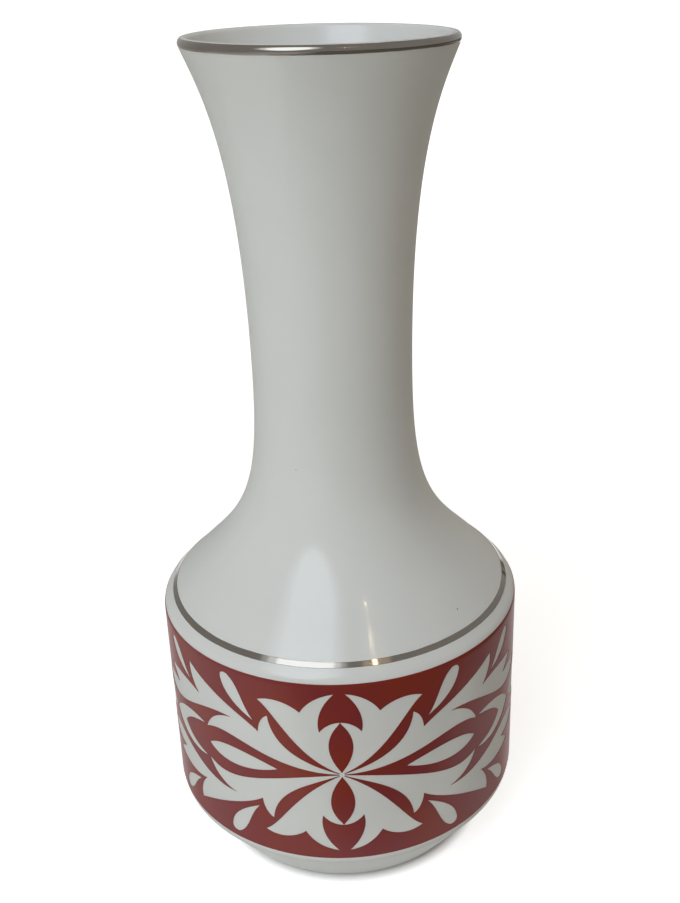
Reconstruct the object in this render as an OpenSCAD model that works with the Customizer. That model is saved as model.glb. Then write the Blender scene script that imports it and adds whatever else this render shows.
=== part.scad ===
// Bottle vase in glazed porcelain. A drum-shaped body stands on an undercut foot, a sloped
// shoulder runs into a long neck, and the neck opens to a trumpet mouth. A printed band with
// leaves left open in it covers the drum, and two bright metal lines edge the shoulder and lip.
// The vase is turned about z and stands on z = 0, and its front faces -y.

/* [Overall] */
// Height from the table to the top of the lip
height = 243.5; // [205:0.5:295]
// Diameter of the drum
body_d = 109; // [94:1:132]
// Diameter of the mouth, over the lip
mouth_d = 72.6; // [60:0.2:88]
// Diameter of the neck at its waist
waist_d = 46.2; // [38:0.1:56]
// Diameter of the foot, where it meets the table
foot_d = 82.8; // [68:0.2:88]

/* [Profile] */
// Height of the edge between the undercut and the drum
undercut_h = 17.8; // [12:0.2:24]
// Height of the edge between the drum and the shoulder
shoulder_h = 81.6; // [67:0.2:98]
// Height of the neck's waist
waist_h = 152.9; // [135:0.1:175]
// Slope of the shoulder, in degrees from upright
shoulder_slope = 45.4; // [38:0.1:52]
// Diameter at which the shoulder's slope starts to curve up into the neck
neck_root_d = 83.5; // [66:0.5:90]
// Lean of the mouth's wall at the lip, in degrees from upright
lip_lean = 22; // [10:1:32]
// Rounding of the drum's lower edge
lower_edge_r = 4; // [1:0.5:8]
// Rounding of the drum's shoulder edge
shoulder_edge_r = 4.5; // [2:0.5:14]
// How soon the neck bends away from the shoulder, as a share of that curve's height
root_ease_low = 0.36; // [0.2:0.02:0.5]
// How soon the neck straightens below its waist, as a share of that curve's height
root_ease_high = 0.57; // [0.4:0.01:0.7]
// How late the flare leaves the waist, as a share of the flare's height
flare_ease_low = 0.69; // [0.4:0.01:0.8]
// How early the flare takes up the lean of the lip, as a share of the flare's height
flare_ease_high = 0.14; // [0.05:0.01:0.4]

/* [Walls and foot] */
// Thickness of the finished wall, which the lip rounds over
wall = 3.2; // [2.4:0.1:4.5]
// Thickness of the glaze
glaze_t = 0.3; // [0.2:0.05:0.5]
// Thickness of the finished floor
floor_t = 4.5; // [3:0.1:6]
// Rounding inside, between the floor and the wall
floor_edge_r = 6; // [2:0.5:9]
// Width of the foot ring
foot_ring_w = 4.5; // [3:0.1:7]
// Height of the recess inside the foot ring
foot_recess_h = 3; // [1.5:0.1:4]
// Width of the bevels on the foot ring's edges
foot_bevel = 0.6; // [0.3:0.1:0.8]
// Height of the bare strip above the table that the glaze is wiped off
bare_h = 1; // [0.8:0.1:2]

/* [Printed band] */
// Height of the band's lower edge above the drum's lower edge
band_rise = 1.8; // [0.4:0.1:8]
// Height of the band's upper edge above the drum's shoulder edge
band_climb = -0.6; // [-6:0.1:1.4]
// Thickness of the print
print_t = 0.12; // [0.08:0.02:0.3]
// Clear strip between the band's edges and the tips of the leaves
leaf_margin = 2.1; // [1:0.1:6]
// Radius of the spot where the leaves meet
hub_r = 0.8; // [0.5:0.1:1.5]
// Gap between the tips of neighbouring leaves where two repeats meet
seam_gap = 1.6; // [0.8:0.2:6]
// Straight steps along each leaf's edge from corner to corner
leaf_steps = 6; // [4:1:10]

/* [Metal lines] */
// Height of the shoulder line above the drum's shoulder edge
line_rise = 2.8; // [1.6:0.1:8]
// Width of the shoulder line, along the slope
line_w = 1.8; // [0.8:0.1:4]
// Depth of the lip's band below the top of the lip
rim_depth = 2.3; // [1.6:0.1:5]
// How far round the lip its band climbs, in degrees from level
rim_climb = 65; // [30:1:80]
// Thickness of the metal
metal_t = 0.1; // [0.06:0.02:0.2]

/* [Hidden] */
$fn = 96;

curve_steps = 28;
arc_steps = 8;

body_r = body_d / 2;
foot_r = foot_d / 2;
lip_r = wall / 2;
band_bottom = undercut_h + band_rise;
band_top = shoulder_h + band_climb;
line_bottom = shoulder_h + line_rise;
line_top = line_bottom + line_w * cos(shoulder_slope);

// Directions in the profile plane, as [radius, height]: along a slope and square to it
function along(lean) = [sin(lean), cos(lean)];
function square_to(lean) = [cos(lean), -sin(lean)];

// A cubic curve's point and its outward normal, for a curve that is drawn upwards
function curve_point(c, t) =
    pow(1 - t, 3) * c[0] + 3 * pow(1 - t, 2) * t * c[1] + 3 * (1 - t) * t * t * c[2] + pow(t, 3) * c[3];
function curve_slope(c, t) =
    pow(1 - t, 2) * (c[1] - c[0]) + 2 * (1 - t) * t * (c[2] - c[1]) + t * t * (c[3] - c[2]);
function unit(v) = v / norm(v);
function outward(v) = unit([v[1], -v[0]]);
function curve_path(c) =
    [for (i = [1 : curve_steps]) let (t = i / curve_steps) [curve_point(c, t), outward(curve_slope(c, t))]];
function arc_path(centre, r, from, to, first = 0) = [
    for (i = [first : arc_steps])
        let (n = square_to(-(from + (to - from) * i / arc_steps)))
        [centre + r * n, n]
];

// The profile of the finished outside, foot to lip, as pairs of a point and its outward normal
undercut_lean = atan((body_r - foot_r) / undercut_h);
lower_tangent = lower_edge_r * tan(undercut_lean / 2);
lower_centre = [body_r - lower_edge_r, undercut_h + lower_tangent];
shoulder_tangent = shoulder_edge_r * tan(shoulder_slope / 2);
shoulder_centre = [body_r - shoulder_edge_r, shoulder_h - shoulder_tangent];
root_start = [body_r, shoulder_h] + (body_r - neck_root_d / 2) / sin(shoulder_slope) * along(-shoulder_slope);
root_rise = waist_h - root_start[1];
waist = [waist_d / 2, waist_h];
lip_centre = [mouth_d / 2 - lip_r, height - lip_r];
lip_start = lip_centre + lip_r * square_to(lip_lean);
flare_rise = lip_start[1] - waist_h;
neck_root = [
    root_start,
    root_start + root_ease_low * root_rise * along(-shoulder_slope),
    waist - [0, root_ease_high * root_rise],
    waist
];
flare = [
    waist,
    waist + [0, flare_ease_low * flare_rise],
    lip_start - flare_ease_high * flare_rise * along(lip_lean),
    lip_start
];
wall_path = concat(
    arc_path(lower_centre, lower_edge_r, -undercut_lean, 0),
    arc_path(shoulder_centre, shoulder_edge_r, 0, shoulder_slope),
    [[root_start, square_to(-shoulder_slope)]],
    curve_path(neck_root),
    curve_path(flare)
);
lip_front = arc_path(lip_centre, lip_r, -lip_lean, rim_climb, 1);
lip_back = arc_path(lip_centre, lip_r, rim_climb, 180 - lip_lean, 1);
lip_path = concat(lip_front, lip_back);
outside = concat([[[foot_r, 0], square_to(undercut_lean)]], wall_path);

// The profile moved in from the finished outside by a depth, and a list turned end for end
function moved_in(path, depth) = [for (p = path) p[0] - depth * p[1]];
function turned(list) = [for (i = [len(list) - 1 : -1 : 0]) list[i]];

// A point of the undercut at a height, moved in by a depth
function undercut_at(h, depth) =
    [foot_r - depth / cos(undercut_lean) + h * tan(undercut_lean), h];

// The inside, from the axis up to the lip, at a depth from the finished outside
floor_h = foot_recess_h + floor_t;
function floor_edge(depth, h) =
    let (r = floor_edge_r + wall - depth)
    let (reach = r * tan((90 - undercut_lean) / 2))
    let (corner = undercut_at(h, depth))
    arc_path([corner[0] - reach, h + r], r, -90, -undercut_lean);
function inside(depth, h) =
    concat([[0, h]], moved_in(floor_edge(depth, h), 0), moved_in(wall_path, depth));

// A strip of a rising path between two heights, with the points at its ends put in
function by_height(path, k, axis) = [for (p = path) [p[0][1], p[k][axis]]];
function path_at(path, h) = [
    [lookup(h, by_height(path, 0, 0)), h],
    unit([lookup(h, by_height(path, 1, 0)), lookup(h, by_height(path, 1, 1))])
];
function strip(path, bottom, top) = concat(
    [path_at(path, bottom)],
    [for (p = path) if (p[0][1] > bottom && p[0][1] < top) p],
    [path_at(path, top)]
);

// A thin coat on a strip of the finished outside
module coat(path, bottom, top, thickness) {
    seat = strip(path, bottom, top);
    rotate_extrude() polygon(concat(moved_in(seat, 0), turned(moved_in(seat, -thickness))));
}

// The ornament, drawn flat in millimetres: u runs round the drum from the hub and v runs up.
// Each leaf is a list of edges, and an edge is its first corner and two points that it leans to.
repeats = 2;
drawn_half_h = 28.6;
chevron_tip = 65;
spray_tip = 74.5;
petal = [
    [[-0.3, 0.4], [3.5, 5.5], [5.8, 12]],
    [[-0.3, 18.2], [2.2, 18.3], [4.6, 16.8]],
    [[5.9, 14.8], [6.9, 18.6], [5.6, 23.6]],
    [[1.5, 27.7], [5.5, 27.2], [9.2, 24.8]],
    [[11.2, 21.1], [14.6, 24.2], [19.6, 25.2]],
    [[23.8, 23.2], [18.5, 20.2], [13.4, 6.4]],
    [[0.3, 0.3], [0.2, 0.2], [-0.2, 0.2]]
];
spray = [
    [[0.3, 0.2], [10, 3.6], [19.8, 7.6]],
    [[20.9, 18.2], [22.6, 17.5], [24, 15]],
    [[24.2, 12], [29.5, 16.2], [41.5, 20.3]],
    [[50.5, 25], [51.2, 21.8], [49.6, 18.3]],
    [[47, 15.7], [51.5, 17.5], [58.5, 17.4]],
    [[66, 16.3], [63.8, 14.5], [62, 13]],
    [[60.2, 12.1], [64, 12.3], [69.5, 12.2]],
    [[spray_tip, 10], [61, 0], [49.5, 14.5]],
    [[33.7, 13.5], [38.2, 12.9], [42.2, 10.2]],
    [[44, 5.6], [33, 11.4], [22.5, 1.2]],
    [[0.3, 0.05], [0.3, 0.1], [0.3, 0.15]]
];
almond = [
    [[18.7, 0], [26, 2.9], [37.5, 5]],
    [[43.3, 0], [37.5, -5], [26, -2.9]]
];
chevron = [
    [[44.8, 5.9], [51.5, 7.9], [60.5, 5.4]],
    [[chevron_tip, 0], [60.5, -5.4], [51.5, -7.9]],
    [[44.8, -5.9], [50.4, -4.9], [55, -3]],
    [[57.2, 0], [55, 3], [50.4, 4.9]]
];
drop = [
    [[0, 0], [6, -0.3], [11, 3.4]],
    [[15.6, 1.6], [17.2, 0.4], [16.9, -1.3]],
    [[14.8, -1.95], [11.5, -3.6], [6, -2.9]]
];
inner_drop = placed(drop, [25.4, 15.2], 52, 1);
outer_drop = placed(drop, [50.6, 18.1], 40, 0.88);

function turned_by(p, turn) = [p[0] * cos(turn) - p[1] * sin(turn), p[0] * sin(turn) + p[1] * cos(turn)];
function placed(leaf, tail, turn, size) =
    [for (edge = leaf) [for (p = edge) tail + size * turned_by(p, turn)]];
function outline(leaf) = [
    for (i = [0 : len(leaf) - 1])
        let (edge = concat(leaf[i], [leaf[(i + 1) % len(leaf)][0]]))
        for (k = [0 : leaf_steps - 1]) curve_point(edge, k / leaf_steps)
];

// The ornament grows until it meets the band's margins or its own next repeat
height_fit = ((band_top - band_bottom) / 2 - leaf_margin) / drawn_half_h;
width_fit = PI * body_r / repeats / (spray_tip + seam_gap);
ornament_scale = min(height_fit, width_fit);
ornament_h = (band_top + band_bottom) / 2;

// A pointed oval fills the space that is left between one repeat and the next
half_repeat = PI * body_r / repeats / ornament_scale;
oval_l = half_repeat - chevron_tip - seam_gap;
oval_shoulder = 0.55 * oval_l;
oval_bulge = min(11, oval_shoulder);
seam_oval = placed([
    [[-oval_l, 0], [-oval_shoulder, oval_bulge], [oval_shoulder, oval_bulge]],
    [[oval_l, 0], [oval_shoulder, -oval_bulge], [-oval_shoulder, -oval_bulge]]
], [half_repeat, 0], 0, 1);

// A leaf laid on the drum and cut straight in towards the axis at the leaf's own middle
cut_from = 0.7 * body_r;
cut_to = 1.1 * body_r;
module leaf_cut(leaf, side, flip) {
    points = outline(leaf);
    reach = [for (p = points) p[0] * ornament_scale / body_r * 180 / PI];
    aim = side * (min(reach) + max(reach)) / 2;
    flat = [for (i = [0 : len(points) - 1])
        [body_r * sin(side * reach[i] - aim), ornament_h + flip * ornament_scale * points[i][1]]];
    rotate([90, 0, aim])
        translate([0, 0, cut_from])
            linear_extrude(cut_to - cut_from) polygon(flat);
}

module ornament_cut() {
    for (side = [-1, 1]) {
        leaf_cut(almond, side, 1);
        leaf_cut(chevron, side, 1);
        for (flip = [-1, 1], leaf = [petal, spray, inner_drop, outer_drop]) leaf_cut(leaf, side, flip);
    }
    leaf_cut(seam_oval, 1, 1);
    translate([0, 0, ornament_h]) rotate([90, 0, 0]) cylinder(h = cut_to, r = hub_r);
}

// The hollow casting: undercut foot with a recessed base, drum, shoulder, neck and lip
module porcelain_body() color("whitesmoke") rotate_extrude() polygon(concat(
    [[0, foot_recess_h]],
    [[foot_r - foot_ring_w - foot_recess_h, foot_recess_h]],
    [[foot_r - foot_ring_w - foot_bevel, foot_bevel]],
    [[foot_r - foot_ring_w, 0]],
    [undercut_at(0, glaze_t) - [foot_bevel, 0]],
    [undercut_at(foot_bevel, glaze_t)],
    moved_in(wall_path, glaze_t),
    moved_in(lip_path, glaze_t),
    turned(inside(wall - glaze_t, floor_h - glaze_t))
));

// The glaze from just above the foot, over the lip and down to the middle of the floor
module glaze_coat() color("white") rotate_extrude() polygon(concat(
    [undercut_at(bare_h, glaze_t), undercut_at(bare_h, 0)],
    moved_in(wall_path, 0),
    moved_in(lip_path, 0),
    turned(inside(wall, floor_h)),
    inside(wall - glaze_t, floor_h - glaze_t),
    turned(moved_in(lip_path, glaze_t)),
    turned(moved_in(wall_path, glaze_t))
));

// The glaze on the recessed base, inside the foot ring
module base_glaze() color("white")
    translate([0, 0, foot_recess_h - glaze_t])
        cylinder(h = glaze_t, r = foot_r - foot_ring_w - foot_recess_h);

// The print, cut through to the white glaze in the shape of the leaves
module printed_band() color("firebrick") difference() {
    coat(outside, band_bottom, band_top, print_t);
    for (turn = [0 : repeats - 1]) rotate([0, 0, turn * 360 / repeats]) ornament_cut();
}

// The bright band that wraps the outer edge of the lip
module rim_band() color("silver") coat(
    concat(outside, lip_front),
    height - rim_depth,
    lip_centre[1] + lip_r * sin(rim_climb),
    metal_t
);

// The bright line just above the drum's shoulder edge
module shoulder_line() color("silver") coat(outside, line_bottom, line_top, metal_t);

porcelain_body();
glaze_coat();
base_glaze();
printed_band();
rim_band();
shoulder_line();
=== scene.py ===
# %% [markdown]
# # A porcelain bottle vase
# The real vase is one hollow casting of porcelain. White glaze covers it inside and out, a red
# print with leaves left open in it wraps the drum, and two lines of platinum edge the lip and the
# shoulder. This lesson turns each of those layers as a mesh of its own, at the size and place that
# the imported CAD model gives, and then makes the finishes, the light and the camera.

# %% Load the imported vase
import itertools
import math

import bpy
from mathutils import Matrix, Vector
from mathutils.geometry import delaunay_2d_cdt


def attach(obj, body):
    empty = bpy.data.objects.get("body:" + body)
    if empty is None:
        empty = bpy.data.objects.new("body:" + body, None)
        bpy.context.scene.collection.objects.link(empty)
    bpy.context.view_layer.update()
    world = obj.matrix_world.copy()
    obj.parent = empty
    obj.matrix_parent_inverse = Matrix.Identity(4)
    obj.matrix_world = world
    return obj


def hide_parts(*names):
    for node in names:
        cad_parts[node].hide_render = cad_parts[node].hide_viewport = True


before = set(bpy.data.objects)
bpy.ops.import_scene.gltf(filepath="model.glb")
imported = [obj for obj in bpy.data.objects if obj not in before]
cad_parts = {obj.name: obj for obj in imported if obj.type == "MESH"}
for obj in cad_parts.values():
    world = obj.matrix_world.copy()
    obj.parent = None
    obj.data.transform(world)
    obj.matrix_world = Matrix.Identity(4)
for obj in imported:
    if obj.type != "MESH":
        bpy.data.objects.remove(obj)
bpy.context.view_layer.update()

print("CAD nodes:", sorted(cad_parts))

# %% [markdown]
# ## The sizes
# A potter works from one drawing of the profile, and so does this script. The values are the
# driving sizes of the CAD model in metres, because a coat that is a third of a millimetre thick
# has to lie exactly on the wall under it. Angles lean from upright.

# %% Driving sizes
MM = 0.001
height = 243.5 * MM
drum_r = 54.5 * MM
mouth_r = 36.3 * MM
waist_r = 23.1 * MM
foot_r = 41.4 * MM
undercut_h = 17.8 * MM
shoulder_h = 81.6 * MM
waist_h = 152.9 * MM
shoulder_slope = math.radians(45.4)
neck_root_r = 41.75 * MM
lip_lean = math.radians(22)
lower_edge_r = 4 * MM
shoulder_edge_r = 4.5 * MM
root_ease = (0.36, 0.57)
flare_ease = (0.69, 0.14)

wall = 3.2 * MM
glaze_t = 0.3 * MM
floor_t = 4.5 * MM
floor_edge_r = 6 * MM
foot_ring_w = 4.5 * MM
foot_recess_h = 3 * MM
foot_bevel = 0.6 * MM
bare_h = 1 * MM

print(f"vase {height / MM:.1f} mm tall, drum {2 * drum_r / MM:.1f} mm across")

# %% [markdown]
# ## The profile
# The outside is two rounded edges, a straight drum, a straight shoulder and two long curves that
# meet at the neck's waist. A Blender curve object with a Screw modifier could turn it, but the
# coats need the profile moved in or out by their thickness, so each point is kept together with
# its outward normal. Moving a coat is then one multiplication.

# %% Arcs and curves with their normals
ARC_STEPS = 12
CURVE_STEPS = 48


def along(lean):
    """Direction of a slope, as (radius, height)."""
    return Vector((math.sin(lean), math.cos(lean)))


def square_to(lean):
    """Direction square to a slope, pointing outwards."""
    return Vector((math.cos(lean), -math.sin(lean)))


def arc(centre, r, start, end, first=0):
    """Points and normals of an arc, from one angle above level to another."""
    path = []
    for i in range(first, ARC_STEPS + 1):
        normal = square_to(-(start + (end - start) * i / ARC_STEPS))
        path.append((centre + r * normal, normal))
    return path


def curve_point(a, b, c, d, t):
    """A point of a cubic curve with two end points and two handles."""
    s = 1 - t
    return s ** 3 * a + 3 * s * s * t * b + 3 * s * t * t * c + t ** 3 * d


def curve(a, b, c, d):
    """Points and normals of a rising cubic curve, without its first point."""
    path = []
    for i in range(1, CURVE_STEPS + 1):
        t = i / CURVE_STEPS
        slope = (1 - t) ** 2 * (b - a) + 2 * (1 - t) * t * (c - b) + t * t * (d - c)
        path.append((curve_point(a, b, c, d, t), Vector((slope.y, -slope.x)).normalized()))
    return path


# %% The outside from the foot to the lip
undercut_lean = math.atan((drum_r - foot_r) / undercut_h)
lower_centre = Vector((
    drum_r - lower_edge_r,
    undercut_h + lower_edge_r * math.tan(undercut_lean / 2),
))
shoulder_centre = Vector((
    drum_r - shoulder_edge_r,
    shoulder_h - shoulder_edge_r * math.tan(shoulder_slope / 2),
))
root_start = Vector((drum_r, shoulder_h))
root_start += (drum_r - neck_root_r) / math.sin(shoulder_slope) * along(-shoulder_slope)
waist = Vector((waist_r, waist_h))
root_rise = waist_h - root_start.y
lip_r = wall / 2
lip_centre = Vector((mouth_r - lip_r, height - lip_r))
lip_start = lip_centre + lip_r * square_to(lip_lean)
flare_rise = lip_start.y - waist_h

wall_path = arc(lower_centre, lower_edge_r, -undercut_lean, 0)
wall_path += arc(shoulder_centre, shoulder_edge_r, 0, shoulder_slope)
wall_path += [(root_start, square_to(-shoulder_slope))]
wall_path += curve(
    root_start,
    root_start + root_ease[0] * root_rise * along(-shoulder_slope),
    waist - Vector((0, root_ease[1] * root_rise)),
    waist,
)
wall_path += curve(
    waist,
    waist + Vector((0, flare_ease[0] * flare_rise)),
    lip_start - flare_ease[1] * flare_rise * along(lip_lean),
    lip_start,
)
rim_climb = math.radians(65)
lip_front = arc(lip_centre, lip_r, -lip_lean, rim_climb, first=1)
lip_back = arc(lip_centre, lip_r, rim_climb, math.pi - lip_lean, first=1)
outside = [(Vector((foot_r, 0)), square_to(undercut_lean))] + wall_path + lip_front
over_lip = wall_path + lip_front + lip_back
print(f"profile of {len(outside) + len(lip_back)} points")
print(f"undercut leaning {math.degrees(undercut_lean):.1f} degrees")


# %% Moving the profile in
def moved_in(path, depth):
    """The points of a path, moved in from the finished outside."""
    return [point - depth * normal for point, normal in path]


def undercut_at(h, depth):
    """The point of the undercut at a height, moved in by a depth."""
    return Vector((foot_r - depth / math.cos(undercut_lean) + h * math.tan(undercut_lean), h))


def inside(depth):
    """The inside from the axis to the lip, for a wall of this depth."""
    floor_h = foot_recess_h + floor_t - (wall - depth)
    r = floor_edge_r + wall - depth
    reach = r * math.tan((math.pi / 2 - undercut_lean) / 2)
    centre = undercut_at(floor_h, depth) + Vector((-reach, r))
    floor_edge = moved_in(arc(centre, r, -math.pi / 2, -undercut_lean), 0)
    return [Vector((0, floor_h))] + floor_edge + moved_in(wall_path, depth)


print(f"floor inside at {inside(wall)[0].y / MM:.1f} mm")

# %% [markdown]
# ## Turning a layer
# A lathe tool could be the Screw modifier or bmesh's spin. A short function of its own does the
# same and can also take an outline that changes with the angle, which the brushed platinum needs.
# Points on the axis become a single vertex, so that no ring of stray edges is left at the centre.

# %% The lathe
TURN_STEPS = 192
ON_AXIS = 1e-9
SHARP_ANGLE = math.radians(38)


def mesh_piece(name, points, faces):
    """A smooth-shaded object from points and faces, with its corners kept sharp."""
    mesh = bpy.data.meshes.new(name)
    mesh.from_pydata(points, [], faces)
    mesh.validate()
    mesh.polygons.foreach_set("use_smooth", [True] * len(mesh.polygons))
    mesh.set_sharp_from_angle(angle=SHARP_ANGLE)
    piece = bpy.data.objects.new(name, mesh)
    bpy.context.scene.collection.objects.link(piece)
    return piece


def on_lathe(point, angle):
    """A (radius, height) point turned to an angle, counted from the front."""
    return (point.x * math.sin(angle), -point.x * math.cos(angle), point.y)


def turn(name, outline_at, steps=TURN_STEPS):
    """A closed outline turned about z. outline_at gives the outline at an angle."""
    angles = [2 * math.pi * k / steps for k in range(steps)]
    outlines = [outline_at(angle) for angle in angles]
    points = []
    rings = []
    for i in range(len(outlines[0])):
        start = len(points)
        if outlines[0][i].x < ON_AXIS:
            points.append((0, 0, outlines[0][i].y))
            rings.append([start] * steps)
            continue
        points += [on_lathe(outline[i], angle) for outline, angle in zip(outlines, angles)]
        rings.append(list(range(start, start + steps)))
    faces = []
    for ring, following in zip(rings, rings[1:] + rings[:1]):
        for k in range(steps):
            after = (k + 1) % steps
            corners = dict.fromkeys((ring[k], ring[after], following[after], following[k]))
            if len(corners) > 2:
                faces.append(tuple(corners))
    piece = mesh_piece(name, points, faces)
    print(f"{name}: {len(points)} points, {len(faces)} faces")
    return piece


def stands_for(piece, node):
    """The piece takes a CAD node's place on the vase, and the node is hidden."""
    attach(piece, "root")
    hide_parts(node)


# %% [markdown]
# ## The cast body
# The casting itself shows only at the foot: the glaze is wiped off the ring so that the vase
# doesn't fuse to the kiln shelf. The ring's two edges are sponged round before firing. They are
# drawn as short quadratic bends here, because a plain bevel would catch the light as a hard line.

# %% Turn the cast body
SPONGE_STEPS = 5


def sponged(before, corner, after):
    """A corner rubbed round between two points on its sides."""
    bend = []
    for i in range(SPONGE_STEPS + 1):
        t = i / SPONGE_STEPS
        bend.append((1 - t) ** 2 * before + 2 * (1 - t) * t * corner + t * t * after)
    return bend


ring_inner = Vector((foot_r - foot_ring_w, 0))
ring_outer = undercut_at(0, glaze_t)
ring_slope = Vector((-foot_bevel, foot_bevel))
recess_edge = Vector((foot_r - foot_ring_w - foot_recess_h, foot_recess_h))

body_outline = [Vector((0, foot_recess_h)), recess_edge]
body_outline += sponged(ring_inner + ring_slope, ring_inner, ring_inner + Vector((foot_bevel, 0)))
body_outline += sponged(
    ring_outer - Vector((foot_bevel, 0)),
    ring_outer,
    undercut_at(foot_bevel, glaze_t),
)
body_outline += moved_in(over_lip, glaze_t)
body_outline += reversed(inside(wall - glaze_t))

cast_body = turn("cast_body", lambda angle: body_outline)
stands_for(cast_body, "porcelain_body")

# %% [markdown]
# ## The glaze
# Glaze is a skin of glass, about a third of a millimetre thick, from just above the foot over the
# lip to the floor inside. Where it was wiped off, the fire draws its edge into a small bead. The
# outline goes up the outside, over the lip and down the inside, and comes back along the body.

# %% Turn the glaze coats
BEAD_STEPS = 6


def glaze_bead():
    """The rounded lower edge of the glaze, from the body side out."""
    r = glaze_t / 2
    centre = undercut_at(bare_h, r) + r * along(undercut_lean)
    bead = []
    for i in range(BEAD_STEPS + 1):
        turned = math.pi * (1 - i / BEAD_STEPS)
        across = r * math.cos(turned) * square_to(undercut_lean)
        bead.append(centre + across - r * math.sin(turned) * along(undercut_lean))
    return bead


glaze_outline = glaze_bead() + moved_in(over_lip, 0) + inside(wall)[::-1]
glaze_outline += inside(wall - glaze_t) + moved_in(over_lip, glaze_t)[::-1]
glaze = turn("glaze", lambda angle: glaze_outline)
stands_for(glaze, "glaze_coat")

base_outline = [Vector((0, foot_recess_h - glaze_t))]
base_outline += sponged(
    recess_edge - Vector((glaze_t, glaze_t)),
    recess_edge - Vector((0, glaze_t)),
    recess_edge,
)
base_outline += [Vector((0, foot_recess_h))]
base_glaze = turn("glaze_under_foot", lambda angle: base_outline)
stands_for(base_glaze, "base_glaze")

# %% [markdown]
# ## The platinum lines
# A decorator paints the platinum on with a banding brush while the vase turns on a wheel. The line
# follows the wheel closely, but its edges waver by a tenth of a millimetre, and the metal thins
# out to nothing there. So the outline is flat with rounded ends that move a little with the angle.
# Its points, counted from -1 at one edge to 1 at the other, lie closer together at the ends.

# %% Turn the platinum lines
metal_t = 0.1 * MM
line_rise = 2.8 * MM
line_w = 1.8 * MM
rim_depth = 2.3 * MM
BRUSH_WAVER = 0.06 * MM
BRUSH_WAVES = (3, 7, 16, 37)
BRUSH_PLACES = (-1, -0.985, -0.96, -0.92, -0.9, -0.7, -0.5, -0.3, -0.1)
BRUSH_PLACES += tuple(-across for across in BRUSH_PLACES[::-1])
BRUSH_FLAT = 0.92
LINE_STEPS = 2 * TURN_STEPS


def path_at(path, h):
    """The point and the normal of a rising path at a height."""
    for (low, low_normal), (high, high_normal) in zip(path, path[1:]):
        if low.y <= h <= high.y and high.y > low.y:
            t = (h - low.y) / (high.y - low.y)
            return low.lerp(high, t), low_normal.lerp(high_normal, t).normalized()
    return path[-1]


def waver(angle, phase):
    """How far a brushed edge strays, as a sum of waves that close on themselves."""
    return BRUSH_WAVER * sum(
        math.sin(waves * angle + phase * waves) / math.sqrt(waves) for waves in BRUSH_WAVES
    )


def brushed_line(name, path, bottom, top, phase):
    """A flat line of metal with rounded edges, between two heights of a path."""
    def outline_at(angle):
        low = bottom + waver(angle, phase)
        high = min(top + waver(angle, phase + 1), path[-1][0].y)
        seat = [path_at(path, low + (high - low) * (across + 1) / 2) for across in BRUSH_PLACES]
        face = []
        for across, (point, normal) in zip(BRUSH_PLACES, seat):
            past_flat = max(0, (abs(across) - BRUSH_FLAT) / (1 - BRUSH_FLAT))
            face.append(point + metal_t * math.sqrt(1 - past_flat ** 2) * normal)
        return face + [point for point, normal in seat[-2:0:-1]]
    return turn(name, outline_at, LINE_STEPS)


line_bottom = shoulder_h + line_rise
line_top = line_bottom + line_w * math.cos(shoulder_slope)
shoulder_platinum = brushed_line("shoulder_platinum", outside, line_bottom, line_top, phase=0.4)
stands_for(shoulder_platinum, "shoulder_line")

rim_top = lip_centre.y + lip_r * math.sin(rim_climb)
lip_platinum = brushed_line("lip_platinum", outside, height - rim_depth, rim_top, phase=2.1)
stands_for(lip_platinum, "rim_band")

# %% [markdown]
# ## The leaf print
# The print is a red enamel transfer with the leaves left open, so the white in the pattern is the
# glaze itself. A picture texture would do from afar, but real holes keep their edges crisp at any
# distance. Each leaf is a ring of cubic edges, drawn flat in millimetres: u runs round the drum
# from the point where the leaves meet, and v runs up. An edge is its first corner and two handles.
# The drop is drawn from its tail at zero, because it is used at two places.

# %% Draw the leaves
band_rise = 1.8 * MM
band_climb = -0.6 * MM
print_t = 0.12 * MM
hub_r = 0.8
seam_gap = 1.6
chevron_tip = 65
spray_tip = 74.5

petal = [
    [(-0.3, 0.4), (3.5, 5.5), (5.8, 12)],
    [(-0.3, 18.2), (2.2, 18.3), (4.6, 16.8)],
    [(5.9, 14.8), (6.9, 18.6), (5.6, 23.6)],
    [(1.5, 27.7), (5.5, 27.2), (9.2, 24.8)],
    [(11.2, 21.1), (14.6, 24.2), (19.6, 25.2)],
    [(23.8, 23.2), (18.5, 20.2), (13.4, 6.4)],
    [(0.3, 0.3), (0.2, 0.2), (-0.2, 0.2)],
]
spray = [
    [(0.3, 0.2), (10, 3.6), (19.8, 7.6)],
    [(20.9, 18.2), (22.6, 17.5), (24, 15)],
    [(24.2, 12), (29.5, 16.2), (41.5, 20.3)],
    [(50.5, 25), (51.2, 21.8), (49.6, 18.3)],
    [(47, 15.7), (51.5, 17.5), (58.5, 17.4)],
    [(66, 16.3), (63.8, 14.5), (62, 13)],
    [(60.2, 12.1), (64, 12.3), (69.5, 12.2)],
    [(spray_tip, 10), (61, 0), (49.5, 14.5)],
    [(33.7, 13.5), (38.2, 12.9), (42.2, 10.2)],
    [(44, 5.6), (33, 11.4), (22.5, 1.2)],
    [(0.3, 0.05), (0.3, 0.1), (0.3, 0.15)],
]
almond = [
    [(18.7, 0), (26, 2.9), (37.5, 5)],
    [(43.3, 0), (37.5, -5), (26, -2.9)],
]
chevron = [
    [(44.8, 5.9), (51.5, 7.9), (60.5, 5.4)],
    [(chevron_tip, 0), (60.5, -5.4), (51.5, -7.9)],
    [(44.8, -5.9), (50.4, -4.9), (55, -3)],
    [(57.2, 0), (55, 3), (50.4, 4.9)],
]
drop = [
    [(0, 0), (6, -0.3), (11, 3.4)],
    [(15.6, 1.6), (17.2, 0.4), (16.9, -1.3)],
    [(14.8, -1.95), (11.5, -3.6), (6, -2.9)],
]
print(f"leaves of {[len(leaf) for leaf in (petal, spray, almond, chevron, drop)]} edges")

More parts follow.
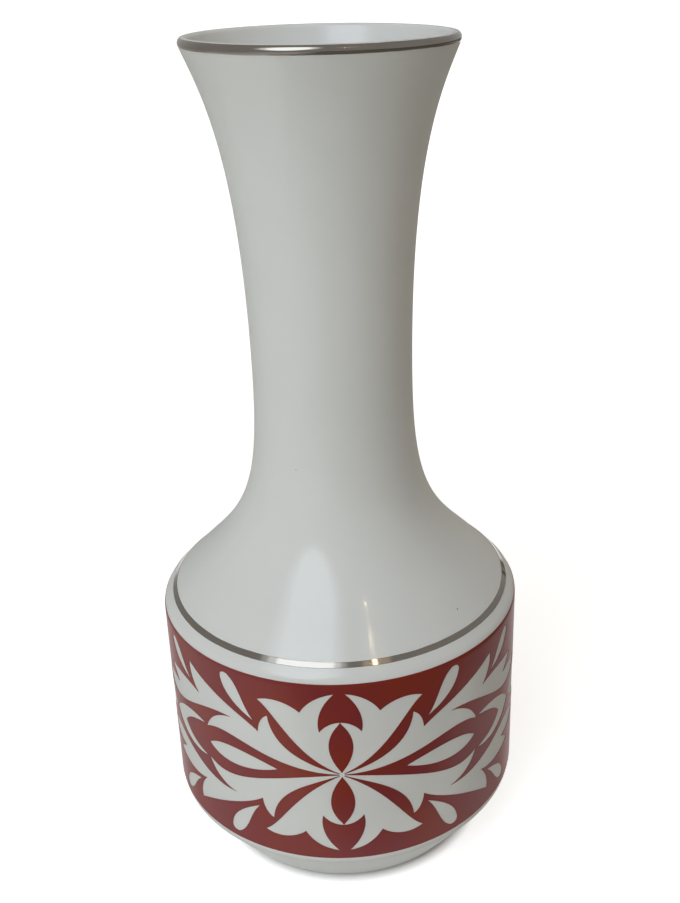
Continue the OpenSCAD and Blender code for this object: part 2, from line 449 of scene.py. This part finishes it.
# %% [markdown]
# The pattern is the same left and right of the point where the leaves meet, above and below it,
# and again on the back. So one quarter of a repeat is enough: it is mirrored and turned to eight
# places. Points that reach past the quarter's edges are brought back on to them.

# %% Lay the leaves out on a quarter of the pattern
LEAF_STEPS = 20
CIRCLE_HANDLE = 0.552
OVAL_BULGE = 0.55
quarter_w = math.pi * drum_r / 2 / MM
band_bottom = undercut_h + band_rise
band_top = shoulder_h + band_climb
print_middle = (band_bottom + band_top) / 2
quarter_h = (band_top - band_bottom) / 2 / MM


def placed(leaf, tail, turned, size):
    """A leaf turned, scaled and moved to its place."""
    turn_by = Matrix.Rotation(math.radians(turned), 2)
    return [[Vector(tail) + size * (turn_by @ Vector(p)) for p in edge] for edge in leaf]


def leaf_outline(leaf):
    """The leaf's outline as points, kept inside the quarter."""
    points = []
    for edge, following in zip(leaf, leaf[1:] + leaf[:1]):
        corners = [Vector(p) for p in (*edge, following[0])]
        for k in range(LEAF_STEPS):
            p = curve_point(*corners, k / LEAF_STEPS)
            points.append(Vector((min(max(p.x, 0), quarter_w), max(p.y, 0))))
    return points


oval_l = quarter_w - chevron_tip - seam_gap
oval_bulge = OVAL_BULGE * oval_l
seam_oval = [
    [(-oval_l, 0), (-oval_bulge, oval_bulge), (oval_bulge, oval_bulge)],
    [(oval_l, 0), (oval_bulge, -oval_bulge), (-oval_bulge, -oval_bulge)],
]
hub_handle = CIRCLE_HANDLE * hub_r
hub = [
    [(hub_r, 0), (hub_r, hub_handle), (hub_handle, hub_r)],
    [(0, hub_r), (0, hub_r), (0, 0)],
    [(0, 0), (0, 0), (hub_r, 0)],
]
leaves = [
    petal,
    spray,
    almond,
    chevron,
    hub,
    placed(drop, tail=(25.4, 15.2), turned=52, size=1),
    placed(drop, tail=(50.6, 18.1), turned=40, size=0.88),
    placed(seam_oval, tail=(quarter_w, 0), turned=0, size=1),
]
leaf_outlines = [leaf_outline(leaf) for leaf in leaves]
print(f"{len(leaves)} leaves in a quarter of {quarter_w:.1f} x {quarter_h:.1f} mm")

# %% [markdown]
# Blender's constrained Delaunay triangulation fills the quarter with triangles that keep to every
# leaf's outline. A loose grid of extra points goes in as well, so that no triangle is long enough
# to cut a chord across the round drum. Triangles whose middle lies in a leaf are then left out.

# %% Fill the quarter around the leaves
GRID_U = 1.25
GRID_V = 2.2
TOP_ROWS = 4
SAME_POINT = 1e-5
ALL_TRIANGLES = 0


def in_outline(point, outline):
    """Whether a point lies inside a closed outline."""
    hit = False
    for a, b in zip(outline, outline[1:] + outline[:1]):
        if (a.y > point.y) != (b.y > point.y):
            hit ^= point.x < a.x + (point.y - a.y) / (b.y - a.y) * (b.x - a.x)
    return hit


def quarter_points():
    """Grid points and leaf outlines, with the edges that the triangles keep to."""
    columns = math.ceil(quarter_w / GRID_U)
    bend_v = (shoulder_centre.y - print_middle) / MM
    rows = math.ceil(bend_v / GRID_V)
    heights = [bend_v * i / rows for i in range(rows)]
    heights += [bend_v + (quarter_h - bend_v) * i / TOP_ROWS for i in range(TOP_ROWS + 1)]
    points = [Vector((quarter_w * k / columns, v)) for v in heights for k in range(columns + 1)]
    edges = []
    for outline in leaf_outlines:
        first = len(points)
        points += outline
        edges += [(first + k, first + (k + 1) % len(outline)) for k in range(len(outline))]
    return points, edges


points, edges = quarter_points()
quarter, _, triangles, *_ = delaunay_2d_cdt(points, edges, [], ALL_TRIANGLES, SAME_POINT)
printed = []
for triangle in triangles:
    middle = sum((quarter[i] for i in triangle), Vector((0, 0))) / 3
    if not any(in_outline(middle, outline) for outline in leaf_outlines):
        printed.append(triangle)
print(f"{len(printed)} of {len(triangles)} triangles are printed")

# %% [markdown]
# Now the quarter is wrapped round the drum. Its height picks a point on the profile, so the
# print's upper edge bends over the rounded shoulder as a soft transfer does. Every point is made
# twice, on the glaze and one print thickness above it, and walls close the gap along each edge.
# The normals are set from the profile, so that reflections run over the print without a ripple.

# %% Wrap the print
ANGLE_DIGITS = 6
HEIGHT_DIGITS = 9
FULL_TURN = 2 * math.pi


def wrapped_print():
    """Every place of the whole print as (angle, height), and triangles that share the places."""
    numbers = {}
    places = []
    sheet = []
    for half_turn, side, flip in itertools.product((0, math.pi), (1, -1), (1, -1)):
        index = []
        for p in quarter:
            angle = (half_turn + side * p.x * MM / drum_r) % FULL_TURN
            h = print_middle + flip * p.y * MM
            around = round(angle, ANGLE_DIGITS) % round(FULL_TURN, ANGLE_DIGITS)
            key = (around, round(h, HEIGHT_DIGITS))
            if key not in numbers:
                numbers[key] = len(places)
                places.append((angle, h))
            index.append(numbers[key])
        for a, b, c in printed:
            corners = (index[a], index[b], index[c])
            sheet.append(corners if side * flip > 0 else corners[::-1])
    return places, sheet


def print_piece(name):
    """The wrapped print as a closed sheet with its own thickness."""
    places, sheet = wrapped_print()
    seats = [(*path_at(outside, h), angle) for angle, h in places]
    points = [on_lathe(p + print_t * normal, angle) for p, normal, angle in seats]
    points += [on_lathe(p, angle) for p, normal, angle in seats]
    lifts = [Vector(on_lathe(normal, angle)) for p, normal, angle in seats]
    count = len(places)
    used = {(a, b) for t in sheet for a, b in zip(t, t[1:] + t[:1])}
    edges = [(a, b) for a, b in used if (b, a) not in used]
    faces = sheet + [(c + count, b + count, a + count) for a, b, c in sheet]
    faces += [(b, a, a + count, b + count) for a, b in sorted(edges)]
    piece = mesh_piece(name, points, faces)
    mesh = piece.data
    normals = []
    for polygon in mesh.polygons:
        for corner in polygon.vertices:
            if len(polygon.vertices) > 3:
                normals.append(polygon.normal)
            else:
                normals.append(lifts[corner] if corner < count else -lifts[corner - count])
    mesh.normals_split_custom_set(normals)
    print(f"{name}: {len(points)} points, {len(faces)} faces, {len(edges)} edge walls")
    return piece


leaf_print = print_piece("leaf_print")
stands_for(leaf_print, "printed_band")

# %% [markdown]
# ## Effects that several finishes share
# The same kiln fires every layer, so the finishes share their faults: the tone drifts a little
# from place to place, the glass surface has a faint ripple, and specks of iron burn through. Each
# is a node group with its own inputs, placed in a material with the values that suit that layer.
# A node tree could be built with three lines for every node. Short helpers that add a node, set
# its values and link it keep the trees readable.

# %% Helpers for nodes
MIX_FACTOR = 0
MIX_FIRST_COLOR = 6
MIX_SECOND_COLOR = 7
MIX_COLOR_RESULT = 2


def add_node(tree, kind, inputs=None, **settings):
    """A node with its settings, and its inputs set to values or linked to sockets."""
    node = tree.nodes.new(kind)
    for name, value in settings.items():
        setattr(node, name, value)
    for name, value in (inputs or {}).items():
        if isinstance(value, bpy.types.NodeSocket):
            tree.links.new(value, node.inputs[name])
        else:
            node.inputs[name].default_value = value
    return node


def maths(tree, operation, *values):
    """The result of a Math node. The values are numbers or sockets."""
    node = add_node(tree, "ShaderNodeMath", dict(enumerate(values)), operation=operation)
    return node.outputs["Value"]


def vector_maths(tree, operation, *values):
    """The outputs of a Vector Math node. The values are vectors or sockets."""
    return add_node(tree, "ShaderNodeVectorMath", dict(enumerate(values)), operation=operation).outputs


def ranged(tree, value, start, end, low=0, high=1):
    """A value spread from low at its start to high at its end, and held beyond both."""
    return add_node(tree, "ShaderNodeMapRange", {
        "Value": value, "From Min": start, "From Max": end, "To Min": low, "To Max": high,
    }).outputs["Result"]


def mixed(tree, factor, first, second):
    """A colour mixed from two by a factor."""
    return add_node(tree, "ShaderNodeMix", {
        MIX_FACTOR: factor, MIX_FIRST_COLOR: first, MIX_SECOND_COLOR: second,
    }, data_type="RGBA").outputs[MIX_COLOR_RESULT]


def place_on(tree):
    """The place on the object itself, in metres."""
    return add_node(tree, "ShaderNodeTexCoord").outputs["Object"]


def axes_of(tree, vector):
    """The X, Y and Z of a vector, by name."""
    return add_node(tree, "ShaderNodeSeparateXYZ", {"Vector": vector}).outputs


def noise(tree, place, scale, detail, roughness=0.5):
    """Soft noise from 0 to 1."""
    return add_node(tree, "ShaderNodeTexNoise", {
        "Vector": place, "Scale": scale, "Detail": detail, "Roughness": roughness,
    }).outputs["Fac"]


# %% Helpers for effects
FLOAT = "NodeSocketFloat"
COLOR = "NodeSocketColor"
WHITE = (1, 1, 1, 1)


def new_effect(name, inputs, outputs):
    """An empty node group with its sockets, given as {name: (type, default)}."""
    tree = bpy.data.node_groups.new(name, "ShaderNodeTree")
    for label, (kind, default) in inputs.items():
        tree.interface.new_socket(label, in_out="INPUT", socket_type=kind).default_value = default
    for label, kind in outputs.items():
        tree.interface.new_socket(label, in_out="OUTPUT", socket_type=kind)
    given = tree.nodes.new("NodeGroupInput").outputs
    result = tree.nodes.new("NodeGroupOutput").inputs
    return tree, given, result


def place_effect(tree, effect, **inputs):
    """A group placed in a material, with its input names written with underscores."""
    node = tree.nodes.new("ShaderNodeGroup")
    node.node_tree = effect
    for name, value in inputs.items():
        node.inputs[name.replace("_", " ")].default_value = value
    return node


# %% Tone drift
DRIFT_START = 0.35
DRIFT_END = 0.65

tone_drift, given, result = new_effect(
    "tone_drift",
    {"Tone": (COLOR, WHITE), "Drifted Tone": (COLOR, WHITE), "Patches": (FLOAT, 30)},
    {"Color": COLOR},
)
patches = noise(tone_drift, place_on(tone_drift), given["Patches"], detail=3, roughness=0.55)
drift = ranged(tone_drift, patches, DRIFT_START, DRIFT_END)
drifted = mixed(tone_drift, drift, given["Tone"], given["Drifted Tone"])
tone_drift.links.new(drifted, result["Color"])
print("effect:", tone_drift.name)

# %% Glass ripple
HAZE_SCALE = 55

glass_ripple, given, result = new_effect(
    "glass_ripple",
    {"Gloss": (FLOAT, 0.2), "Haze": (FLOAT, 0.1), "Ripples": (FLOAT, 200)},
    {"Roughness": FLOAT, "Height": FLOAT},
)
place = place_on(glass_ripple)
ripples = noise(glass_ripple, place, given["Ripples"], detail=2, roughness=0.45)
haze = noise(glass_ripple, place, HAZE_SCALE, detail=4)
rough = maths(glass_ripple, "MULTIPLY_ADD", haze, given["Haze"], given["Gloss"])
glass_ripple.links.new(rough, result["Roughness"])
glass_ripple.links.new(ripples, result["Height"])
print("effect:", glass_ripple.name)

# %% Iron specks
iron_specks, given, result = new_effect(
    "iron_specks",
    {"Density": (FLOAT, 60), "Size": (FLOAT, 0.02), "Share": (FLOAT, 0.1)},
    {"Mask": FLOAT},
)
cells = add_node(iron_specks, "ShaderNodeTexVoronoi", {
    "Vector": place_on(iron_specks), "Scale": given["Density"],
})
lot = add_node(iron_specks, "ShaderNodeSeparateColor", {"Color": cells.outputs["Color"]})
near = maths(iron_specks, "LESS_THAN", cells.outputs["Distance"], given["Size"])
chosen = maths(iron_specks, "LESS_THAN", lot.outputs["Red"], given["Share"])
iron_specks.links.new(maths(iron_specks, "MULTIPLY", near, chosen), result["Mask"])
print("effect:", iron_specks.name)

# %% [markdown]
# ## The finishes
# Every finish starts from one Principled BSDF. Numbers that are the same all over, such as the
# index of refraction, are set on the shader itself, and only what varies comes from the effects.
# A plain dielectric grows a bright rim where it turns away from the eye. The real vase shows none,
# so the glaze and the print have a shine that fades towards the outline.


# %% Helpers for finishes
def new_finish(name):
    """A material with a fresh Principled BSDF, and its node tree."""
    material = bpy.data.materials.new(name)
    material.use_nodes = True
    tree = material.node_tree
    return material, tree, tree.nodes["Principled BSDF"]


def bumped(tree, height_socket, depth):
    """A normal bent by a height that is this many metres deep."""
    return add_node(tree, "ShaderNodeBump", {
        "Height": height_socket, "Distance": depth, "Strength": 1,
    }).outputs["Normal"]


def fading_shine(tree, start, end, head_on, edge_on):
    """A specular level that changes as the surface turns away, from 0 head on to 1 edge on."""
    turned = add_node(tree, "ShaderNodeLayerWeight", {"Blend": 0.5}).outputs["Facing"]
    return ranged(tree, turned, start, end, head_on, edge_on)


def connect(tree, shader, **sockets):
    """Link what varies to the shader's inputs, with their names written with underscores."""
    for name, socket in sockets.items():
        tree.links.new(socket, shader.inputs[name.replace("_", " ")])


def wear_finish(piece, material):
    """Give a piece its one finish."""
    piece.data.materials.clear()
    piece.data.materials.append(material)
    print(f"{piece.name} wears {material.name}")


# %% [markdown]
# ### White glaze
# The glaze is a satin white with a soft gloss. Two dark specks, which look like iron that burnt
# through, are placed where the real vase has them, one on the shoulder and one on the neck, and
# finer ones are scattered. To match the tones of the real vase it is set duller under the drum,
# and a little whiter inside, which is painted light that brightens the inside of the mouth. Both
# parts could be painted by hand. Here the surface's own direction gives them: inside it points
# towards the axis, and under the drum it points down.

# %% Masks on the white glaze
IRON = (0.16, 0.13, 0.10, 1)
SPECK_RIM = 0.32 * MM
SPECK_CORE = 0.12 * MM
PLACED_SPECKS = ((47.2, 89.5 * MM, 1), (-26.3, 130.2 * MM, 0.35))
FULLY_WITHIN = -20 * MM


def placed_speck(tree, angle, h, strength):
    """A soft mask of this strength round one place on the outside of the vase."""
    point, normal = path_at(outside, h)
    centre = on_lathe(point, math.radians(angle))
    away = vector_maths(tree, "DISTANCE", place_on(tree), centre)["Value"]
    return ranged(tree, away, SPECK_RIM, SPECK_CORE, 0, strength)


def within_vase(tree, surface):
    """0 where the surface looks away from the axis, and 1 where it looks towards it."""
    from_axis = vector_maths(tree, "MULTIPLY", place_on(tree), (1, 1, 0))["Vector"]
    outward = vector_maths(tree, "DOT_PRODUCT", surface, from_axis)["Value"]
    return ranged(tree, outward, 0, FULLY_WITHIN)


# %% White glaze
GLAZE_TONE = (0.70, 0.71, 0.69, 1)
GLAZE_DRIFTED = (0.725, 0.73, 0.71, 1)
# Painted light: the glaze colour inside the vase is whiter, to brighten the mouth.
GLAZE_PAINTED_LIGHT_INSIDE = (0.775, 0.785, 0.765, 1)
UNDERCUT_STARTS = -0.45
UNDERCUT_FULL = -0.55
UNDERCUT_SHINE = 0.05
UNDERCUT_ROUGHER = 0.45
GLAZE_RIPPLE = 0.003 * MM

white_glaze, tree, shader = new_finish("white_glaze")
tone = place_effect(tree, tone_drift, Tone=GLAZE_TONE, Drifted_Tone=GLAZE_DRIFTED, Patches=28)
skin = place_effect(tree, glass_ripple, Gloss=0.07, Haze=0.05, Ripples=160)
specks = place_effect(tree, iron_specks, Density=70, Size=0.016, Share=0.05).outputs["Mask"]
for angle, h, strength in PLACED_SPECKS:
    specks = maths(tree, "MAXIMUM", specks, placed_speck(tree, angle, h, strength))
surface = add_node(tree, "ShaderNodeNewGeometry").outputs["Normal"]
# Painted light: the glaze colour is whiter where the surface looks towards the axis.
glaze_tone_painted_lighter_inside = mixed(tree, within_vase(tree, surface), tone.outputs["Color"], GLAZE_PAINTED_LIGHT_INSIDE)
downward = axes_of(tree, surface)["Z"]
under = ranged(tree, downward, UNDERCUT_STARTS, UNDERCUT_FULL, 0, UNDERCUT_SHINE)
rougher = UNDERCUT_ROUGHER / UNDERCUT_SHINE
shine = fading_shine(tree, start=0.2, end=0.5, head_on=0.42, edge_on=0)
connect(
    tree, shader,
    Base_Color=mixed(tree, specks, glaze_tone_painted_lighter_inside, IRON),
    Roughness=maths(tree, "MULTIPLY_ADD", under, rougher, skin.outputs["Roughness"]),
    Specular_IOR_Level=maths(tree, "MAXIMUM", shine, under),
    Normal=bumped(tree, skin.outputs["Height"], GLAZE_RIPPLE),
)
shader.inputs["IOR"].default_value = 1.5
wear_finish(glaze, white_glaze)
wear_finish(base_glaze, white_glaze)

# %% [markdown]
# ### Red print
# The enamel is an iron-oxide red. It was fired at a lower heat than the glaze, so it is a little
# duller, and its tone drifts between brown and crimson where the colour lies thinner.

# %% Red print
RED_TONE = (0.222, 0.021, 0.007, 1)
RED_DRIFTED = (0.193, 0.019, 0.020, 1)
RED_RIPPLE = 0.006 * MM

red_print, tree, shader = new_finish("red_print")
tone = place_effect(tree, tone_drift, Tone=RED_TONE, Drifted_Tone=RED_DRIFTED, Patches=45)
skin = place_effect(tree, glass_ripple, Gloss=0.26, Haze=0.08, Ripples=420)
connect(
    tree, shader,
    Base_Color=tone.outputs["Color"],
    Roughness=skin.outputs["Roughness"],
    Specular_IOR_Level=fading_shine(tree, start=0.3, end=0.7, head_on=0.3, edge_on=0.04),
    Normal=bumped(tree, skin.outputs["Height"], RED_RIPPLE),
)
wear_finish(leaf_print, red_print)

# %% [markdown]
# ### Platinum
# Fired platinum is a very thin mirror, greyed here by a tone well below that of polished metal. The
# brush leaves fine streaks along the line. They are noise stretched round the vase: the angle is
# taken from the place on the object, so the streaks follow the wheel.

# %% Platinum
PLATINUM_TONE = (0.225, 0.205, 0.18, 1)
PLATINUM_DRIFTED = (0.19, 0.172, 0.15, 1)
PLATINUM_STREAK = (0.325, 0.297, 0.26, 1)
STREAKS_TO_RADIAN = 3
STREAKS_TO_METRE = 5000
STREAK_DEPTH = 0.0025 * MM

platinum, tree, shader = new_finish("platinum")
axes = axes_of(tree, place_on(tree))
around = maths(tree, "ARCTAN2", axes["X"], axes["Y"])
wheel = add_node(tree, "ShaderNodeCombineXYZ", {"X": around, "Z": axes["Z"]}).outputs["Vector"]
stretched = add_node(tree, "ShaderNodeMapping", {
    "Vector": wheel, "Scale": (STREAKS_TO_RADIAN, 1, STREAKS_TO_METRE),
}).outputs["Vector"]
streaks = noise(tree, stretched, 1, detail=3)
tone = place_effect(tree, tone_drift, Tone=PLATINUM_TONE, Drifted_Tone=PLATINUM_DRIFTED, Patches=90)
skin = place_effect(tree, glass_ripple, Gloss=0.05, Haze=0.06, Ripples=500)
connect(
    tree, shader,
    Base_Color=mixed(tree, streaks, tone.outputs["Color"], PLATINUM_STREAK),
    Roughness=skin.outputs["Roughness"],
    Normal=bumped(tree, streaks, STREAK_DEPTH),
)
shader.inputs["Metallic"].default_value = 1
wear_finish(shoulder_platinum, platinum)
wear_finish(lip_platinum, platinum)

# %% [markdown]
# ### Bare porcelain
# The wiped foot ring is fired clay: dense, matt and a little creamier than the glaze, with a fine
# grain from the sponge and a few specks. The casting wears it all over, and the glaze covers the
# rest, as on the real vase.

# %% Bare porcelain
CLAY_TONE = (0.66, 0.63, 0.57, 1)
CLAY_DRIFTED = (0.58, 0.55, 0.49, 1)
CLAY_GRAIN = 0.03 * MM

bare_porcelain, tree, shader = new_finish("bare_porcelain")
tone = place_effect(tree, tone_drift, Tone=CLAY_TONE, Drifted_Tone=CLAY_DRIFTED, Patches=160)
skin = place_effect(tree, glass_ripple, Gloss=0.62, Haze=0.2, Ripples=1800)
specks = place_effect(tree, iron_specks, Density=260, Size=0.06, Share=0.08).outputs["Mask"]
connect(
    tree, shader,
    Base_Color=mixed(tree, specks, tone.outputs["Color"], IRON),
    Roughness=skin.outputs["Roughness"],
    Normal=bumped(tree, skin.outputs["Height"], CLAY_GRAIN),
)
shader.inputs["Specular IOR Level"].default_value = 0.1
wear_finish(cast_body, bare_porcelain)

# %% [markdown]
# ## The camera
# The camera is where the photograph was taken from: a third of a metre away, above the lip and
# looking down. It is placed by its distance from the axis, its height and three turns, in the
# order in which a tripod head makes them: heading, tilt and roll. The picture is a crop, so the
# middle of the view isn't the middle of the picture, and the lens is shifted by the difference.

# %% Camera
IMAGE_W = 680
IMAGE_H = 903
SENSOR_W = 36
focal_px = 1124
camera_away = 305.5 * MM
camera_h = 265.2 * MM
camera_side = math.radians(1.660)
camera_heading = math.radians(-0.770)
camera_tilt = math.radians(24.266)
camera_roll = math.radians(-1.155)
view_centre = (378.8, 444.7)

lens = bpy.data.cameras.new("camera")
lens.sensor_width = SENSOR_W
lens.lens = lens.sensor_width * focal_px / IMAGE_H
lens.shift_x = (IMAGE_W / 2 - view_centre[0]) / IMAGE_H
lens.shift_y = (view_centre[1] - IMAGE_H / 2) / IMAGE_H
lens.clip_start = 10 * MM
camera = bpy.data.objects.new("camera", lens)
bpy.context.scene.collection.objects.link(camera)
stand = Matrix.Translation(on_lathe(Vector((camera_away, camera_h)), camera_side))
head = Matrix.Rotation(camera_heading, 4, "Z") @ Matrix.Rotation(math.pi / 2 - camera_tilt, 4, "X")
camera.matrix_world = stand @ head @ Matrix.Rotation(camera_roll, 4, "Z")
bpy.context.scene.camera = camera
print(f"camera with a {lens.lens:.1f} mm lens at {tuple(round(v, 3) for v in camera.location)}")

# %% [markdown]
# ## Light
# A broad soft light high on the left models the neck and lays a pale streak on the shoulder. One
# panel would end in a hard edge in the glaze, so three of them lie close together, each smaller
# than the one behind it, and the light grows brighter towards the middle. Two weak fills lift the
# shadows without a reflection of their own, and a small warm lamp on the right, with a faint glow
# round it, leaves a spark on the metal. All of them are at a plain level: on the lit side a colour
# comes out a little darker than it is written, and the white glaze stays well short of clipping.

# %% Lamps
COOL = (0.79, 0.88, 1)
FRESH = (0.95, 1, 0.88)
MILD = (1, 0.98, 0.95)
WARM = (1, 0.78, 0.5)
AMBER = (1, 0.7, 0.48)


def panel(name, away, side, rise, size, watts, tint):
    """A soft panel at a bearing from the front and an elevation, aimed at the vase."""
    light = bpy.data.lights.new(name, "AREA")
    light.shape = "ELLIPSE"
    light.size, light.size_y = size
    light.energy = watts
    light.color = tint
    lamp = bpy.data.objects.new(name, light)
    bpy.context.scene.collection.objects.link(lamp)
    level = away * math.cos(math.radians(rise))
    above = away * math.sin(math.radians(rise))
    target = Vector((0, 0, height / 2))
    spot = target + Vector(on_lathe(Vector((level, above)), math.radians(side)))
    turned = (target - spot).to_track_quat("-Z", "Y").to_matrix().to_4x4()
    lamp.matrix_world = Matrix.Translation(spot) @ turned
    print(f"{name}: {watts} W at {side} degrees round and {rise} up")
    return lamp


panel("soft_key_edge", away=1.52, side=-29.6, rise=47, size=(1.2, 1.5), watts=3, tint=COOL)
panel("soft_key", away=1.5, side=-29.2, rise=47, size=(1.0, 1.38), watts=3.9, tint=COOL)
panel("soft_key_middle", away=1.48, side=-28.4, rise=47, size=(0.76, 1.2), watts=4, tint=COOL)
fills = [
    panel("front_fill", away=1.6, side=-30, rise=-1, size=(1, 0.12), watts=3, tint=FRESH),
    panel("rear_fill", away=1.6, side=142, rise=1, size=(0.8, 0.2), watts=3.4, tint=MILD),
]
for fill in fills:
    fill.visible_glossy = False
panel("warm_lamp", away=1.6, side=26.9, rise=52, size=(0.045, 0.03), watts=0.1, tint=WARM)
panel("warm_glow", away=1.62, side=28.5, rise=52, size=(0.42, 0.2), watts=0.12, tint=AMBER)


# %% [markdown]
# ## Floor and background
# The camera sees a plain white floor with the vase's shadow on it, in front of white. More lamps
# would make it white too, but they would wash out the vase. So Light Path tells the rays apart:
# rays that see the floor or the room meet a glow of its own, and the light that falls on the vase
# is that of a matt floor in a dim room. Close to the foot the glow gives way in a ring: this is a
# painted contact shadow, dark as a real floor is where no light gets in.

# %% Rays and the floor's mesh
FLOOR_HALF = 8


def in_view(tree):
    """1 for rays straight from the camera."""
    return add_node(tree, "ShaderNodeLightPath").outputs["Is Camera Ray"]


def seen_directly(tree):
    """1 for rays of the camera, of reflections and through glass, and 0 for bounced light."""
    path = add_node(tree, "ShaderNodeLightPath").outputs
    seen = maths(tree, "MAXIMUM", path["Is Camera Ray"], path["Is Glossy Ray"])
    return maths(tree, "MAXIMUM", seen, path["Is Transmission Ray"])


floor_corners = [(FLOOR_HALF * x, FLOOR_HALF * y, 0) for x, y in ((-1, -1), (1, -1), (1, 1), (-1, 1))]
floor = mesh_piece("floor", floor_corners, [(0, 1, 2, 3)])
print(f"floor {2 * FLOOR_HALF} m across")

# %% [markdown]
# In reflections and in bounced light the white only reaches as far as a sheet of paper under the
# vase would, and the floor beyond it is greyer, so that the glaze, the print and the metal have
# something darker to show. The sheet could be a mesh of its own, but then it would be seen from
# above. As a mask in the floor's material it has soft edges and stays out of the camera's sight.
# It is measured in metres: x runs to the right and y to the back.

# %% The sheet in the floor's material
SHEET_HALF_W = 0.13
SHEET_WIDENS = 0.3
FRONT_EDGE = 0.078
FRONT_SLANT = 0.8
FRONT_STEEP = 5
LEFT_NEAR_Y = 0.12
LEFT_FAR_Y = 0.28
LEFT_NEAR_SHARE = -0.4
LEFT_FAR_SHARE = -1
SOFT_MIDDLE_W = 0.05
LEFT_SOFTNESS = -0.12
RIGHT_SOFTNESS = -0.05


def white_sheet(tree, x, y):
    """1 on the sheet, falling to 0 over its soft edge. A negative share counts x to the left."""
    left_share = ranged(tree, y, LEFT_NEAR_Y, LEFT_FAR_Y, LEFT_NEAR_SHARE, LEFT_FAR_SHARE)
    aside = maths(tree, "MAXIMUM", x, maths(tree, "MULTIPLY", x, left_share))
    leftward = maths(tree, "MINIMUM", x, 0)
    slant = maths(tree, "MULTIPLY_ADD", leftward, -FRONT_STEEP * FRONT_SLANT, FRONT_STEEP * FRONT_EDGE)
    front = maths(tree, "MULTIPLY_ADD", y, FRONT_STEEP, slant)
    sides = maths(tree, "MULTIPLY_ADD", y, SHEET_WIDENS, SHEET_HALF_W)
    inward = maths(tree, "SUBTRACT", maths(tree, "MINIMUM", front, sides), aside)
    softness = ranged(tree, x, -SOFT_MIDDLE_W, SOFT_MIDDLE_W, LEFT_SOFTNESS, RIGHT_SOFTNESS)
    return ranged(tree, inward, softness, 0)


# %% Floor
PAPER = (0.8, 0.8, 0.8, 1)
FLOOR_RIGHT = (0.40, 0.385, 0.36, 1)
FLOOR_LEFT = (0.7, 0.7, 0.7, 1)
GLOW_RIGHT = (0.02, 0.02, 0.02, 1)
GLOW_LEFT = (0.18, 0.18, 0.18, 1)
LEFT_STARTS = -0.02
LEFT_FULL = -0.2
GLOW_NEAR_R = 0.2
GLOW_FAR_R = 1
GLOW_NEAR = 0.84
GLOW_FAR = 1.25
# Painted contact shadow: a ring round the foot, a little off centre, where the floor's glow is turned
# down.
SHADOW_RING_CENTRE = (1 * MM, -0.5 * MM, 0)
SHADOW_RING_R = 40.8 * MM
SHADOW_RING_ENDS = 44.5 * MM
SHADOW_RING_GLOW = 0.04

pale_floor, tree, shader = new_finish("pale_floor")
tree.nodes.remove(shader)
place = place_on(tree)
axes = axes_of(tree, place)
sheet = maths(tree, "MAXIMUM", white_sheet(tree, axes["X"], axes["Y"]), in_view(tree))
to_left = ranged(tree, axes["X"], LEFT_STARTS, LEFT_FULL)
tone = mixed(tree, sheet, mixed(tree, to_left, FLOOR_RIGHT, FLOOR_LEFT), PAPER)
glow_tone = mixed(tree, sheet, mixed(tree, to_left, GLOW_RIGHT, GLOW_LEFT), PAPER)
away = vector_maths(tree, "LENGTH", place)["Value"]
level = ranged(tree, away, GLOW_NEAR_R, GLOW_FAR_R, GLOW_NEAR, GLOW_FAR)
# Painted contact shadow: the glow drops almost to nothing close to the foot.
from_foot = vector_maths(tree, "DISTANCE", place, SHADOW_RING_CENTRE)["Value"]
painted_contact_shadow = ranged(tree, from_foot, SHADOW_RING_R, SHADOW_RING_ENDS, SHADOW_RING_GLOW, 1)
seen_level = maths(tree, "MULTIPLY", maths(tree, "MULTIPLY", level, painted_contact_shadow), seen_directly(tree))
matt = add_node(tree, "ShaderNodeBsdfDiffuse", {"Color": tone}).outputs["BSDF"]
glow = add_node(tree, "ShaderNodeEmission", {
    "Color": glow_tone, "Strength": seen_level,
}).outputs["Emission"]
both = add_node(tree, "ShaderNodeAddShader", {0: matt, 1: glow}).outputs["Shader"]
tree.links.new(both, tree.nodes["Material Output"].inputs["Surface"])
wear_finish(floor, pale_floor)

# %% [markdown]
# The world is the room. It lights the vase with a dim warm light that is weaker overhead, shows a
# plain grey in reflections, and is white where the camera looks past the floor.

# %% World
AMBIENT = (1, 0.91, 0.78, 1)
ROOM_CLIMB = 0.2
CEILING_CLIMB = 1
ROOM_LEVEL = 0.40
CEILING_LEVEL = 0.27
ROOM_GREY = (0.50, 0.50, 0.49, 1)
ROOM_STRENGTH = 1
IN_VIEW_MORE = 1.05

world = bpy.data.worlds.new("studio")
bpy.context.scene.world = world
world.use_nodes = True
tree = world.node_tree
ambient = tree.nodes["Background"]
ambient.inputs["Color"].default_value = AMBIENT
outlook = add_node(tree, "ShaderNodeTexCoord").outputs["Generated"]
climb = axes_of(tree, outlook)["Z"]
level = ranged(tree, climb, ROOM_CLIMB, CEILING_CLIMB, ROOM_LEVEL, CEILING_LEVEL)
tree.links.new(level, ambient.inputs["Strength"])
seen_level = maths(tree, "MULTIPLY_ADD", in_view(tree), IN_VIEW_MORE, ROOM_STRENGTH)
seen = add_node(tree, "ShaderNodeBackground", {"Color": ROOM_GREY, "Strength": seen_level})
room = add_node(tree, "ShaderNodeMixShader", {
    0: seen_directly(tree), 1: ambient.outputs["Background"], 2: seen.outputs["Background"],
}).outputs["Shader"]
tree.links.new(room, tree.nodes["World Output"].inputs["Surface"])
bpy.context.scene.view_settings.view_transform = "Standard"
print("world:", world.name)
